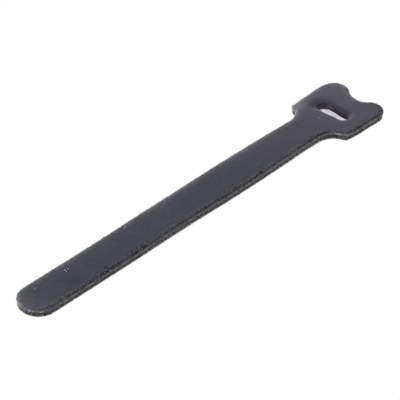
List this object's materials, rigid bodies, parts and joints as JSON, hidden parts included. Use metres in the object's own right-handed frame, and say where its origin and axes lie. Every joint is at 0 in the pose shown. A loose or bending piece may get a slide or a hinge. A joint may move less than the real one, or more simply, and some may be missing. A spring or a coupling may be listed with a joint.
{
  "type": "hook and loop cable tie",
  "caption": "Flat reusable cable tie of hook and loop tape, with a rounded tail and a wide notched head that has a slot for the tail.",
  "frame": {"origin": "middle of the tie's length and width, on the plane of the hooks' tips that the tie rests on", "axes": "+X along the strap towards the slotted head, +Z out of the loop side, +Y across the strap"},
  "size_m": [0.15, 0.024, 0.0026],
  "materials": {
    "hook_plastic": "matte",
    "loop_fabric": "brushed"
  },
  "bodies": {
    "root": {"hook_tape": "hook_plastic", "loop_fabric": "loop_fabric"}
  },
  "joints": []
}
